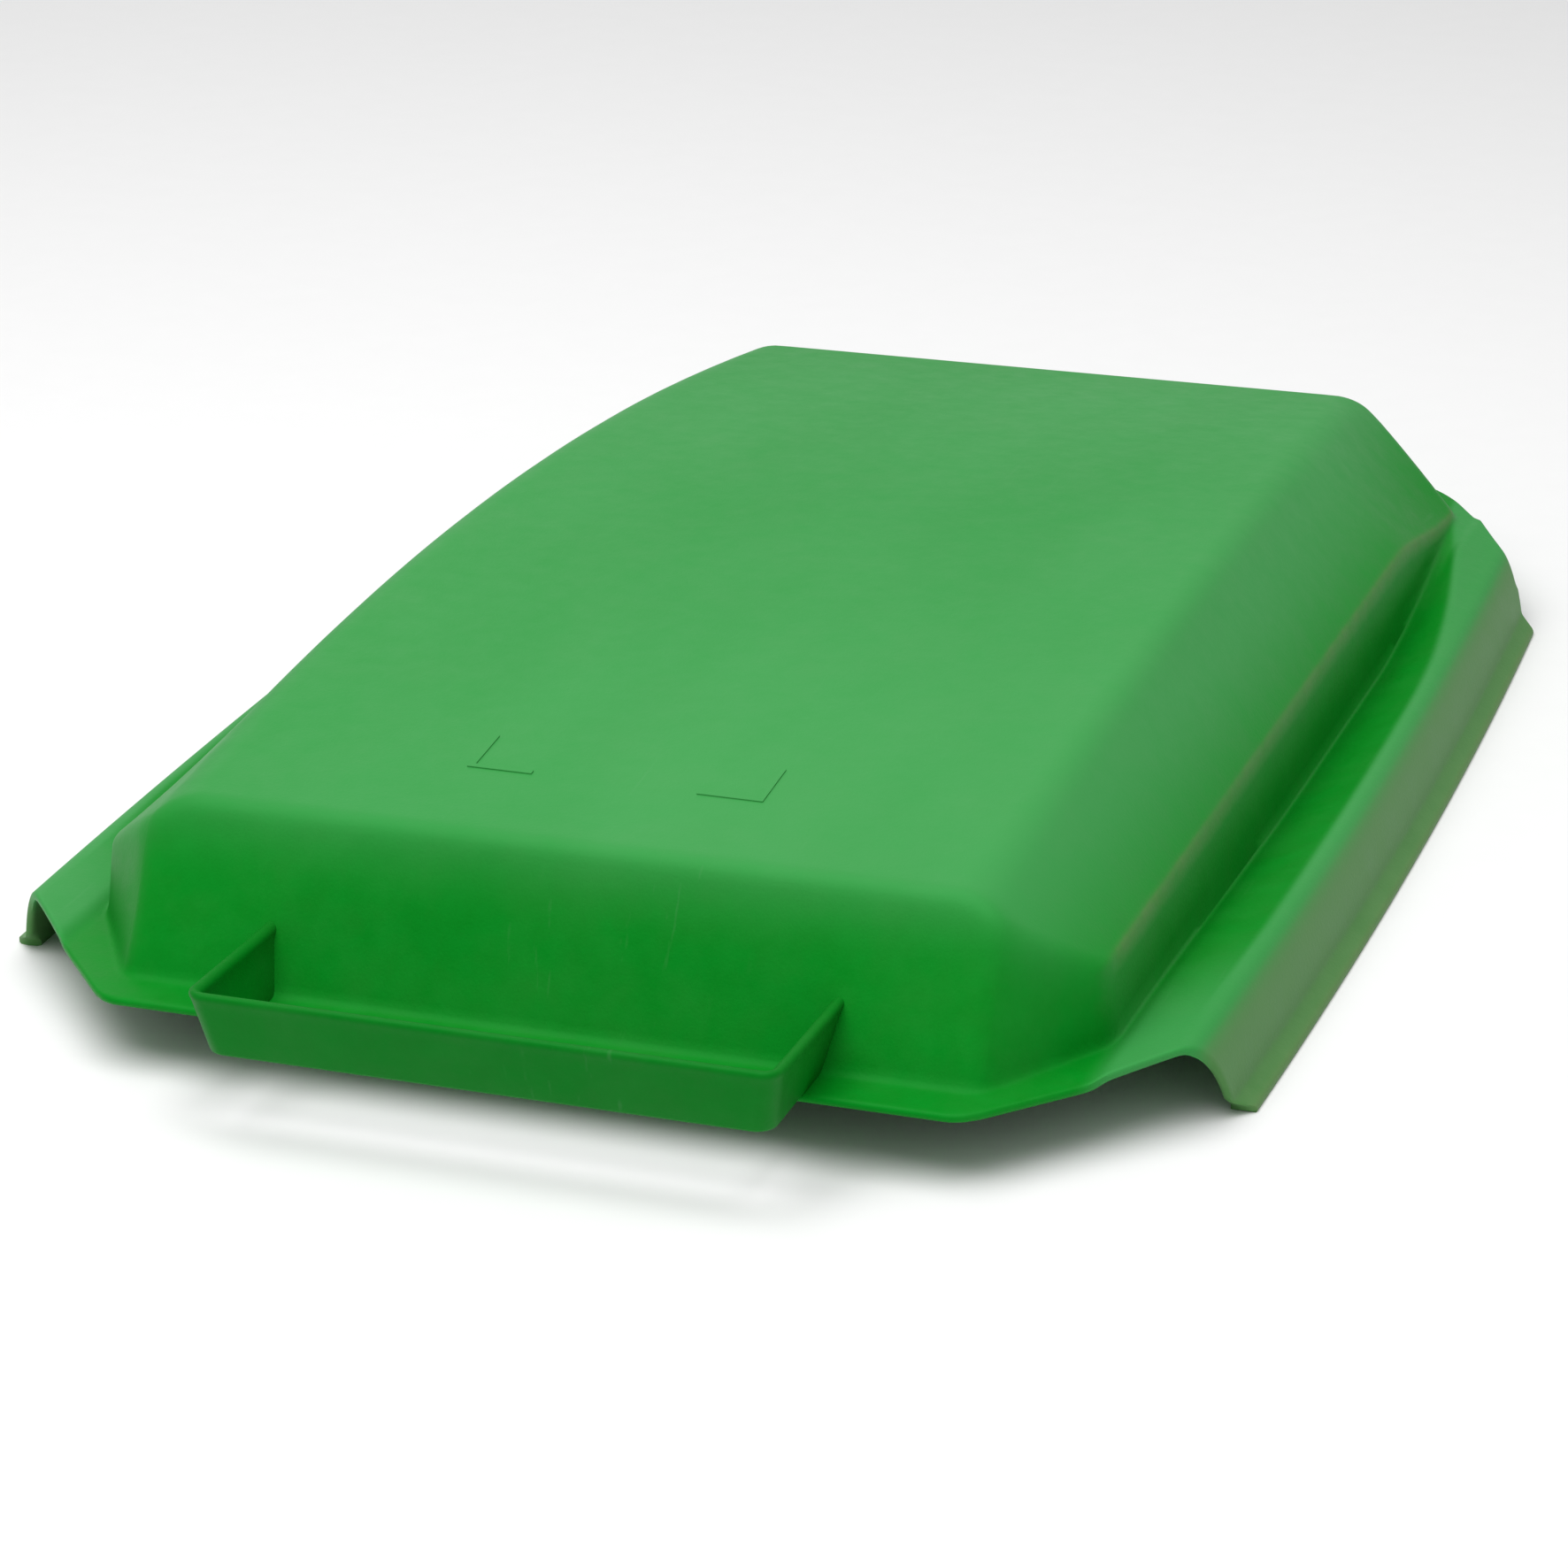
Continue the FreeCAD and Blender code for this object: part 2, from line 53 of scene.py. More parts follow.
BARREL_LOW, BARREL_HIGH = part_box("hinge_barrel_right")
PIN_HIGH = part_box("hinge_pin_right")[1]
BUFFERS_LOW, BUFFERS_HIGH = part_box("rim_buffers")
LIP_Y = SHELL_LOW.y

# ---------------------------------------------------------------- shape of the moulding
WALL = 0.004
LIP_TOP = 0.033             # top of the front lip
REAR_RUN = SHELL_HIGH.y - SHELL_LOW.y

# Dome
FOOT_HALF = 0.241           # half width where the steep side walls meet the grooves
BREAK_HALF = 0.237          # half width at the crisp edge over them
BREAK_Z = 0.068
BREAK_DROP = 0.020          # how far that edge comes down at the rear corners
BREAK_DROP_RUNS = (0.620, 0.762)
WALL_ROOT_Z = -0.020        # the steep walls are one plane down to here
TOP_HALF = 0.188            # half width of the top panel at its front edge
TOP_SWELL = 0.0297
TOP_TAPER = 0.068
FRONT_FOOT = (0.0227, LIP_TOP)      # run and height of the front wall's foot and top
FRONT_TOP = (0.063, 0.1055)
ARCH_RISE = 0.12655
ARCH_FALL = 0.1845
FACET_FOOT = ((0.200, 0.0227), (0.239, 0.084))      # foot line of an oblique front facet
FACET_SLOPES = (0.4147, 0.1094)     # how fast it leans back at the ends of that line
REAR_FOOT = (0.806, LIP_TOP)
REAR_TOP = (0.795, 0.098)
REAR_FACET = ((0.192, 0.806, LIP_TOP), (0.183, 0.795, 0.098), (0.237, 0.768, 0.048))
SOFT_TOP = 0.0075           # widths of the rounded edges
SOFT_FRONT = 0.0056
SOFT_FACET = 0.006
SOFT_REAR = 0.009
SOFT_BREAK = 0.0014
SOFT_FOOT = 0.0030

# Flange, seen in cross section from the groove out to the skirt's foot
GROOVE_RISE = (0.006, 0.003)
GROOVE_DIP = 0.009
GROOVE_DIP_RUNS = (0.090, 0.415)
GROOVE_CLOSE_RUNS = (0.560, 0.762)
REAR_SHELF_Z = 0.044
CREST_HALF = 0.2725
CREST_Z = 0.0395
CREST_LIFT = 0.0065         # the crest climbs to the shelf where the groove closes
CREST_PULL = 0.030          # and swings in towards the dome
CREST_PULL_RUNS = (0.500, 0.780)
SKIRT_OUT = 0.021           # the skirt is part of an ellipse: its half width and half height
SKIRT_DOWN = 0.067
OUTER_TURNS = (0.1433, 1.020)       # radians where its outer and inner sections start and end
INNER_TURNS = (0.275, 1.020)
SKIRT_SWELL = 0.0334        # how the sides bow outwards along the lid
SKIRT_TAPER = 0.068
SKIRT_FOOT_HALF = SHELL_HIGH.x - SKIRT_SWELL ** 2 / (4 * SKIRT_TAPER)
BOW_FIRST_RUN = 0.086
CREST_FRONT_RUN = 0.079
LIP_HALF = 0.200
END_SLOPE = 1.0             # the skirts' front ends are cut at this slope
REAR_EDGE_HALF = 0.210
REAR_EDGE_SLOPE = 134 / 110
TURN_RADIUS = 0.005         # the rear edge turns down in this bend
TURN_FOOT_Z = 0.0205        # and ends at this height
EDGE_UNDER_WEBS = 0.008     # over a barrel and pin it ends this far below the webs' tops
NOTCH_SIDE = 0.0065         # that notch starts this far beside a barrel
NOTCH_STEP = 0.001          # and steps up over this width
OUTLINE_FADE = 0.260        # rows of the mesh follow the ends' outlines this far in
FRONT_SOFT = 0.007          # half widths of the rounding of the outline's corners
REAR_SOFT = 0.016
HEIGHT_HALVINGS = 34        # steps that narrow the moulding's height down
SECTION_SOFT = 0.0022       # half width of the rounding along the grooves and crests
SKIRT_SOFT = 0.0012
BREAK_HIGHLIGHT = 0.0016         # half widths of the painted highlight line at the crisp edge and the worn line at the skirt's foot
RIM_WEAR = 0.002


def ease(value, start, end):
    """0 before start, 1 after end, and smooth between them."""
    share = np.clip((value - start) / (end - start), 0.0, 1.0)
    return share * share * (3 - 2 * share)


def smooth_max(a, b, width):
    """The larger of two fields, with a rounded crease of that width where they cross."""
    overlap = np.maximum(width - np.abs(a - b), 0.0) / width
    return np.maximum(a, b) + overlap * overlap * width / 4


def side_bow(run):
    """How far the crests and skirts stand outside their places at the front end."""
    past = run - BOW_FIRST_RUN
    return SKIRT_SWELL * past - SKIRT_TAPER * past * past


def arch_z(run):
    """Height of the top panel."""
    past = run - FRONT_TOP[0]
    return FRONT_TOP[1] + ARCH_RISE * past - ARCH_FALL * past * past


def top_half(run):
    """Half width of the top panel."""
    past = run - FRONT_TOP[0]
    return TOP_HALF + TOP_SWELL * past - TOP_TAPER * past * past


def groove_z(run):
    """Height of the grooves' bottoms, which close up into the rear shelf."""
    bottom = LIP_TOP - GROOVE_DIP * ease(run, *GROOVE_DIP_RUNS)
    return bottom + (REAR_SHELF_Z - bottom) * ease(run, *GROOVE_CLOSE_RUNS)


def crest_half(run):
    """Half width at the crests beside the grooves."""
    start, end = CREST_PULL_RUNS
    pull = np.clip((run - start) / (end - start), 0.0, 1.0)
    return CREST_HALF + side_bow(run) - CREST_PULL * pull * pull


def crest_z(run):
    """Height of the crests."""
    return CREST_Z + CREST_LIFT * ease(run, *GROOVE_CLOSE_RUNS)


def flange_height(x, run):
    """Height of the flange at x from the middle, with its creases rounded."""
    total = 0.0
    shifts = np.linspace(-SECTION_SOFT, SECTION_SOFT, 7)
    bottom = groove_z(run)
    rise_x, rise_z = GROOVE_RISE
    rise_z = rise_z * (1 - ease(run, *GROOVE_CLOSE_RUNS))
    crest, high = crest_half(run), crest_z(run)
    brow = CREST_HALF + side_bow(run)
    for shift in shifts:
        across = x + shift
        up = np.clip((across - FOOT_HALF) / rise_x, 0.0, 1.0) * rise_z
        foot = FOOT_HALF + rise_x
        out = np.clip((across - foot) / np.maximum(crest - foot, 0.002), 0.0, 1.0)
        back = np.clip((across - crest) / np.maximum(brow - crest, 0.0005), 0.0, 1.0)
        beyond = np.clip((across - brow) / SKIRT_OUT, 0.0, 0.5)
        fall = back * (high - CREST_Z) + SKIRT_DOWN * (1 - np.sqrt(1 - beyond * beyond))
        total = total + bottom + up + out * (high - bottom - rise_z) - fall
    return total / len(shifts)


def plane_through(points):
    """Outward normal and a point of the plane through three points of a rear corner."""
    a, b, c = (np.array(p) for p in points)
    normal = np.cross(b - a, c - a)
    normal /= np.linalg.norm(normal)
    return (normal if normal[1] > 0 else -normal), a


def dome_field(x, run, z):
    """Signed distance to the dome's outer face, below zero inside it."""
    half, high = top_half(run), arch_z(run)
    slope = ARCH_RISE - 2 * ARCH_FALL * (run - FRONT_TOP[0])
    top = (z - high) / np.sqrt(1 + slope * slope)
    edge_z = BREAK_Z - BREAK_DROP * ease(run, *BREAK_DROP_RUNS)
    out, up = BREAK_HALF - half, high - edge_z
    chamfer = ((x - BREAK_HALF) * up + (z - edge_z) * out) / np.hypot(out, up)
    lean = (FOOT_HALF - BREAK_HALF) / (BREAK_Z - LIP_TOP)
    root = FOOT_HALF + lean * (LIP_TOP - WALL_ROOT_Z)
    out, up = root - BREAK_HALF, edge_z - WALL_ROOT_Z
    side = ((x - BREAK_HALF) * up + (z - edge_z) * out) / np.hypot(out, up)
    field = smooth_max(top, chamfer, SOFT_TOP)
    field = smooth_max(field, side, SOFT_BREAK)
    back, rise = FRONT_TOP[0] - FRONT_FOOT[0], FRONT_TOP[1] - FRONT_FOOT[1]
    front = (back * (z - FRONT_FOOT[1]) - rise * (run - FRONT_FOOT[0])) / math.hypot(back, rise)
    field = smooth_max(field, front, SOFT_FRONT)
    (x0, run0), (x1, run1) = FACET_FOOT
    length = math.hypot(x1 - x0, run1 - run0)
    along = ((x - x0) * (x1 - x0) + (run - run0) * (run1 - run0)) / length ** 2
    inwards = ((run - run0) * (x1 - x0) - (x - x0) * (run1 - run0)) / length
    share = np.clip(along, 0.0, 1.0)
    lean = FACET_SLOPES[0] + (FACET_SLOPES[1] - FACET_SLOPES[0]) * share
    facet = (lean * (z - LIP_TOP) - inwards) / np.sqrt(1 + lean * lean)
    field = smooth_max(field, facet, SOFT_FACET)
    back, rise = REAR_FOOT[0] - REAR_TOP[0], REAR_TOP[1] - REAR_FOOT[1]
    rear = (back * (z - REAR_FOOT[1]) + rise * (run - REAR_FOOT[0])) / math.hypot(back, rise)
    field = smooth_max(field, rear, SOFT_REAR)
    normal, at = plane_through(REAR_FACET)
    corner = (x - at[0]) * normal[0] + (run - at[1]) * normal[1] + (z - at[2]) * normal[2]
    return smooth_max(field, corner, SOFT_REAR)


def moulding_height(x, run, depth):
    """Height of the moulding's surface, moved into the wall by depth."""
    flange = flange_height(x, run)
    step = 0.0005
    across = (flange_height(x + step, run) - flange_height(x - step, run)) / (2 * step)
    steep = np.sqrt(1 + across * across)
    low = np.full_like(flange, -0.05)
    high = np.full_like(flange, SHELL_HIGH.z + 0.02)
    for _ in range(HEIGHT_HALVINGS):
        z = (low + high) / 2
        union = -smooth_max(-dome_field(x, run, z), -(z - flange) / steep, SOFT_FOOT)
        outside = union > -depth
        high = np.where(outside, z, high)
        low = np.where(outside, low, z)
    return (low + high) / 2


def skirt_knots(run):
    """Corners of the skirt's outer and inner sections, from beside the crest to the foot."""
    brow = CREST_HALF + side_bow(run)
    foot = SKIRT_FOOT_HALF + side_bow(run)
    flat = np.zeros_like(run)
    sections = []
    for turns, depth in ((OUTER_TURNS, 0.0), (INNER_TURNS, WALL)):
        knots = []
        for turn in np.linspace(*turns, 9):
            out, up = SKIRT_DOWN * math.sin(turn), SKIRT_OUT * math.cos(turn)
            inset = depth / math.hypot(out, up)
            x = brow + SKIRT_OUT * math.sin(turn) - out * inset
            knots.append((x, CREST_Z - SKIRT_DOWN * (1 - math.cos(turn)) - up * inset + flat))
        sections.append(knots)
    outer, inner = sections
    outer += [(foot - 0.0004, 0.0030 + flat), (foot, 0.0025 + flat), (foot, 0.0004 + flat),
              (foot - 0.0004, flat)]
    inner += [(inner[-1][0] + 0.0004, 0.0010 + flat), (inner[-1][0] + 0.0004, flat)]
    return outer, inner


def along_section(knots, share, soft):
    """Point at a share of a section's length, its corners rounded."""
    xs = np.stack([k[0] for k in knots], -1)
    zs = np.stack([k[1] for k in knots], -1)
    dx, dz = np.diff(xs, axis=-1), np.diff(zs, axis=-1)
    lengths = np.hypot(dx, dz)
    starts = np.cumsum(lengths, axis=-1) - lengths
    place = share * lengths.sum(-1)
    width = np.minimum(np.minimum(soft, place), (lengths.sum(-1) - place) * 0.5)
    x_sum, z_sum = 0.0, 0.0
    shifts = np.linspace(-1.0, 1.0, 9)
    for shift in shifts:
        at = (place + shift * width)[..., None]
        parts = np.clip((at - starts) / lengths, 0.0, 1.0)
        x_sum = x_sum + xs[..., 0] + (dx * parts).sum(-1)
        z_sum = z_sum + zs[..., 0] + (dz * parts).sum(-1)
    return x_sum / len(shifts), z_sum / len(shifts)


def softened(line, x, width):
    """A line's value at x, averaged over a width on both sides to round its corners."""
    return sum(line(x + shift) for shift in np.linspace(-width, width, 11)) / 11


def front_run(x):
    """Run of the front outline: the straight lip, its oblique ends, and the skirts' ends."""
    def line(at):
        slope = CREST_FRONT_RUN / (CREST_HALF - LIP_HALF)
        oblique = slope * np.clip(at - LIP_HALF, 0.0, CREST_HALF - LIP_HALF)
        return oblique + END_SLOPE * np.maximum(at - CREST_HALF, 0.0)
    return softened(line, x, FRONT_SOFT)


def rear_run(x):
    """Run of the rear outline."""
    def line(at):
        return REAR_RUN - REAR_EDGE_SLOPE * np.maximum(at - REAR_EDGE_HALF, 0.0)
    return softened(line, x, REAR_SOFT)


def spaced(*stretches):
    """Places along a line: each stretch runs to its end in steps of about the given size."""
    places = [stretches[0][0]]
    for start, end, step in stretches:
        count = max(1, round((end - start) / step))
        places += [start + (end - start) * (i + 1) / count for i in range(count)]
    return np.array(places)


def moulding_grid():
    """Outer and inner points of the right half of the moulding, by row and column."""
    barrel = (BARREL_LOW.x - NOTCH_SIDE, PIN_HIGH.x + NOTCH_STEP)
    flat = spaced(
        (0.0, 0.100, 0.010), (0.100, barrel[0], 0.002), (barrel[0], barrel[0] + 0.002, 0.0005),
        (barrel[0] + 0.002, 0.165, 0.008), (0.165, barrel[1] - 0.002, 0.0025),
        (barrel[1] - 0.002, barrel[1], 0.0005), (barrel[1], 0.226, 0.004),
        (0.226, 0.250, 0.001),
    )
    flange_shares = spaced((0.0, 1.0, 1 / 16))[1:]
    shares = spaced((0.0, 1.0, 1 / 34))[1:]
    rows = spaced(
        (0.0, 0.022, 0.0022), (0.022, 0.070, 0.0018), (0.070, 0.112, 0.0026),
        (0.112, 0.660, 0.010), (0.660, 0.760, 0.004), (0.760, REAR_RUN - TURN_RADIUS, 0.002),
    )
    join = CREST_HALF + SKIRT_OUT * math.sin(OUTER_TURNS[0])
    first_knots = skirt_knots(np.full(len(shares), BOW_FIRST_RUN))[0]
    nominal = np.concatenate([flat, flat[-1] + flange_shares * (join - flat[-1]),
                              along_section(first_knots, shares, SKIRT_SOFT)[0]])
    lip, rear = front_run(nominal), rear_run(nominal)
    start = rows[:, None]
    run = start + (lip + WALL / 2)[None] * (1 - ease(start, 0.0, OUTLINE_FADE))
    run = run - (REAR_RUN - rear)[None] * ease(start, REAR_RUN - OUTLINE_FADE, REAR_RUN)
    bends = np.radians(np.linspace(0, 90, 6)[1:])
    turned = rear[None] - TURN_RADIUS + TURN_RADIUS * np.sin(bends)[:, None]
    run = np.concatenate([run, turned])
    flats = len(flat) + len(flange_shares)
    x = np.tile(nominal, (len(run), 1))
    x[:, len(flat):flats] += flange_shares[None] * side_bow(run[:, len(flat):flats])
    outer = np.stack([x, run, np.zeros_like(x)], -1)
    inner = outer.copy()
    outer[:, :flats, 2] = moulding_height(x[:, :flats], run[:, :flats], 0.0)
    inner[:, :flats, 2] = moulding_height(x[:, :flats], run[:, :flats], WALL)
    skirt_run = run[:, flats:]
    knots_out, knots_in = skirt_knots(skirt_run)
    share = np.tile(shares, (len(run), 1))
    outer[:, flats:, 0], outer[:, flats:, 2] = along_section(knots_out, share, SKIRT_SOFT)
    inner[:, flats:, 0], inner[:, flats:, 2] = along_section(knots_in, share, SKIRT_SOFT)
    return outer, inner, bends


def turn_down(outer, inner, bends):
    """Bend the rear rows down into the rear edge and add the rows down to its foot."""
    count = len(bends)
    over_barrel = (BARREL_LOW.x - NOTCH_SIDE + NOTCH_STEP, PIN_HIGH.x)
    top = outer[-count - 1, :, 2]
    across = outer[-1, :, 0]
    beside = (across > over_barrel[0]) & (across < over_barrel[1])
    foot = np.where(beside, BARREL_HIGH.z - EDGE_UNDER_WEBS, TURN_FOOT_Z)
    drop = np.maximum(top - foot, 0.0)
    weight = np.clip(drop / 0.008, 0.0, 1.0)
    radius = np.minimum(TURN_RADIUS, drop)
    for row, angle in zip(range(-count, 0), bends):
        gap = inner[row] - outer[row]
        outer[row, :, 2] -= radius * (1 - math.cos(angle))
        keep = 1 - weight * (1 - math.cos(angle))
        inner[row] = outer[row] + gap * keep[:, None]
        inner[row, :, 1] -= WALL * weight * math.sin(angle)
    rows_out, rows_in = [outer], [inner]
    left = np.maximum(outer[-1, :, 2] - foot, 0.0)
    for share in (0.25, 0.5, 0.75, 1.0):
        low_out, low_in = outer[-1].copy(), inner[-1].copy()
        low_out[:, 2] -= left * share
        low_in[:, 2] -= np.minimum(left, np.maximum(inner[-1, :, 2] - foot, 0.0)) * share
        rows_out.append(low_out[None])
        rows_in.append(low_in[None])
    return np.concatenate(rows_out), np.concatenate(rows_in)


def mirrored_grid(half):
    """A grid's right half with its left half before it."""
    left = half[:, :0:-1].copy()
    left[..., 0] *= -1
    return np.concatenate([left, half], 1)


def grid_faces(rows, columns, first, flip):
    """Quads of a grid of points that are numbered row by row."""
    numbers = first + np.arange(rows * columns).reshape(rows, columns)
    a, b = numbers[:-1, :-1], numbers[:-1, 1:]
    c, d = numbers[1:, 1:], numbers[1:, :-1]
    order = (a, d, c, b) if flip else (a, b, c, d)
    return np.stack(order, -1).reshape(-1, 4)


def rim_loop(rows, columns):
    """Numbers of a grid's border points, front edge first, once round."""
    numbers = np.arange(rows * columns).reshape(rows, columns)
    return np.concatenate([numbers[0, :-1], numbers[:-1, -1], numbers[-1, :0:-1], numbers[:0:-1, 0]])


def lid_moulding():
    """Mesh of the whole shell, with the masks that its finish reads."""
    outer, inner, bends = moulding_grid()
    outer, inner = turn_down(outer, inner, bends)
    outer, inner = mirrored_grid(outer), mirrored_grid(inner)
    rows, columns = outer.shape[:2]
    count = rows * columns
    points = [outer.reshape(-1, 3), inner.reshape(-1, 3)]
    faces = [grid_faces(rows, columns, 0, False), grid_faces(rows, columns, count, True)]
    loop = rim_loop(rows, columns)
    front = np.arange(len(loop)) < columns - 1
    bulge = np.where(front, -WALL / 2, 0.0)
    last, total = loop, 2 * count
    for angle in (45, 90, 135):
        turn = math.radians(angle)
        middle = (points[0][loop] + points[1][loop]) / 2
        ring = middle + (points[0][loop] - middle) * math.cos(turn)
        ring[:, 1] += bulge * math.sin(turn)
        points.append(ring)
        numbers = total + np.arange(len(loop))
        faces.append(np.stack([last, numbers, np.roll(numbers, -1), np.roll(last, -1)], -1))
        last, total = numbers, total + len(loop)
    inside = loop + count
    faces.append(np.stack([last, inside, np.roll(inside, -1), np.roll(last, -1)], -1))
    places = np.concatenate(points)
    piece = mesh_piece("lid_moulding", places + [0.0, LIP_Y, 0.0], np.concatenate(faces))
    shell = bmesh.new()
    shell.from_mesh(piece.data)
    bmesh.ops.remove_doubles(shell, verts=shell.verts, dist=1e-6)
    bmesh.ops.dissolve_degenerate(shell, edges=shell.edges, dist=1e-7)
    bmesh.ops.recalc_face_normals(shell, faces=shell.faces)
    shell.to_mesh(piece.data)
    shell.free()
    finish_masks(piece.data)
    smooth(piece.data, 50)
    return piece


def finish_masks(mesh):
    """Write the masks onto the points: a painted highlight along the crisp edge with wear at the skirt's
    foot, a painted warm reflection on the skirts, and a painted sheen on the top and flanges.
    """
    places = np.zeros(len(mesh.vertices) * 3)
    mesh.vertices.foreach_get("co", places)
    places = places.reshape(-1, 3)
    x, run, z = np.abs(places[:, 0]), places[:, 1] - LIP_Y, places[:, 2]
    edge_z = BREAK_Z - BREAK_DROP * ease(run, *BREAK_DROP_RUNS)
    # A painted highlight line along the crisp break edge, and real wear along the skirt's foot.
    at_break = np.exp(-((z - edge_z) / BREAK_HIGHLIGHT) ** 2) * (np.abs(x - BREAK_HALF) < 0.006)
    at_break = at_break * ease(run, 0.085, 0.12)
    at_rim = 0.6 * np.exp(-((x - SKIRT_FOOT_HALF - side_bow(run)) / RIM_WEAR) ** 2)
    outside = x - side_bow(run) - CREST_HALF
    front = ease(run - front_run(x), 0.140, 0.020) * ease(x, 0.236, 0.250)
    on_flange = np.clip(ease(x - crest_half(run), -0.004, 0.001) + front, 0.0, 1.0)
    masks = {
        "wear_and_highlight": np.clip(at_break + at_rim, 0.0, 1.0),
        # Painted warm reflection: an olive tint on the outer skirts.
        "skirt": ease(outside, 0.003, 0.012) * ease(z, 0.0385, 0.034),
        # Painted sheen: paler green on the top panel and the flange tops.
        "painted_sheen": ease(run, 0.040, 0.075) * ease(z, 0.055, 0.112) + on_flange,
    }
    for name, values in masks.items():
        mask = mesh.attributes.new(name, "FLOAT", "POINT")
        mask.data.foreach_set("value", np.clip(values, 0.0, 1.0).astype(np.float32))


def mesh_piece(name, points, faces):
    """A new object whose mesh has these points and faces."""
    mesh = bpy.data.meshes.new(name)
    mesh.from_pydata([tuple(p) for p in points], [], [tuple(int(i) for i in f) for f in faces])
    mesh.validate()
    piece = bpy.data.objects.new(name, mesh)
    bpy.context.scene.collection.objects.link(piece)
    return piece


def smooth(mesh, crease):
    """Smooth shading, apart from edges that turn by more than crease degrees."""
    mesh.shade_smooth()
    mesh.set_sharp_from_angle(angle=math.radians(crease))


# ---------------------------------------------------------------- front grip
GRIP_STRIP = 0.0045
GRIP_LEAN_OUT = 0.006       # the arms stand this much further apart at the top
GRIP_LEAN_FRONT = 0.0061
GRIP_CORNER = 0.009
GRIP_DROP = 0.002
GRIP_BEAD = 0.0029          # radius of the rolled rim along the top
ARM_ROOT_Z = 0.0325         # the arms run down to this height over the lip
ARM_SHARE = 0.40            # of the way to the loop's middle, an arm and then its corner end
CORNER_SHARE = 0.60


def grip_section():
    """Offset into the strip and share of its height, once round its cross section."""
    high = GRIP_HIGH.z - GRIP_LOW.z
    middle = GRIP_STRIP / 2 + 0.0004
    bead = [math.radians(a) for a in range(205, -26, -23)]
    rim = [(middle + GRIP_BEAD * math.cos(a), 1 + GRIP_BEAD * (math.sin(a) - 1) / high) for a in bead]
    outer = [(0.0012, 0.0), (0.0003, 0.012), (0.0, 0.05), (0.0, 0.30), (0.0, 0.55), (0.0, 0.75)]
    inner = [(GRIP_STRIP - offset, share) for offset, share in reversed(outer)]
    return outer + rim + inner


def grip_path_point(share, offset, height, turn_back):
    """Plan point on the grip's loop, at a share of the way from the left root to the right one."""
    half = GRIP_HIGH.x - GRIP_LEAN_OUT * (1 - height) - offset
    front = GRIP_LOW.y + GRIP_LEAN_FRONT * (1 - height) + offset
    corner = GRIP_CORNER - offset
    side = -1 if share < 0.5 else 1
    place = min(share, 1 - share) * 2
    if place < ARM_SHARE:
        return side * half, turn_back + (front + corner - turn_back) * place / ARM_SHARE
    if place < CORNER_SHARE:
        angle = math.radians(90) * (place - ARM_SHARE) / (CORNER_SHARE - ARM_SHARE)
        x = half - corner + corner * math.cos(angle)
        return side * x, front + corner - corner * math.sin(angle)
    return side * (half - corner) * (1 - place) / (1 - CORNER_SHARE), front


def grip_loop():
    """The open loop of strip in front of the lip, its arms growing out of the front wall."""
    section = grip_section()
    arm, corner = 0.2 / 21, 0.1 / 12
    shares = spaced((0.0, 0.2, arm), (0.2, 0.3, corner), (0.3, 0.7, 0.01), (0.7, 0.8, corner),
                    (0.8, 1.0, arm))
    lean = (FRONT_TOP[0] - FRONT_FOOT[0]) / (FRONT_TOP[1] - FRONT_FOOT[1])
    high = GRIP_HIGH.z - GRIP_LOW.z
    reach = LIP_Y + FRONT_FOOT[0] - GRIP_LOW.y
    points = []
    for share in shares:
        for offset, height in section:
            z = GRIP_LOW.z + high * height
            root = LIP_Y + FRONT_FOOT[0] + (z - LIP_TOP) * lean + WALL / 2
            x, y = grip_path_point(share, offset, height, root)
            back = (y - GRIP_LOW.y) / reach
            z -= GRIP_DROP * height * min(1.0, back)
            over_lip = float(ease(np.float64(y), LIP_Y - 0.004, LIP_Y + 0.004))
            z -= (GRIP_LOW.z - ARM_ROOT_Z) * over_lip * (1 - height)
            points.append((x, y, z))
    count = len(section)
    faces = []
    for row in range(len(shares) - 1):
        for i in range(count):
            a, b = row * count + i, row * count + (i + 1) % count
            faces.append((a, b, b + count, a + count))
    faces.append(tuple(range(count)))
    faces.append(tuple(range(len(shares) * count - 1, (len(shares) - 1) * count - 1, -1)))
    piece = mesh_piece("grip_loop", points, faces)
    outwards(piece.data)
    smooth(piece.data, 50)
    return piece


def outwards(mesh):
    """Merge doubles and turn every face of a closed mesh outwards."""
    work = bmesh.new()
    work.from_mesh(mesh)
    bmesh.ops.remove_doubles(work, verts=work.verts, dist=1e-6)
    bmesh.ops.recalc_face_normals(work, faces=work.faces)
    work.to_mesh(mesh)
    work.free()


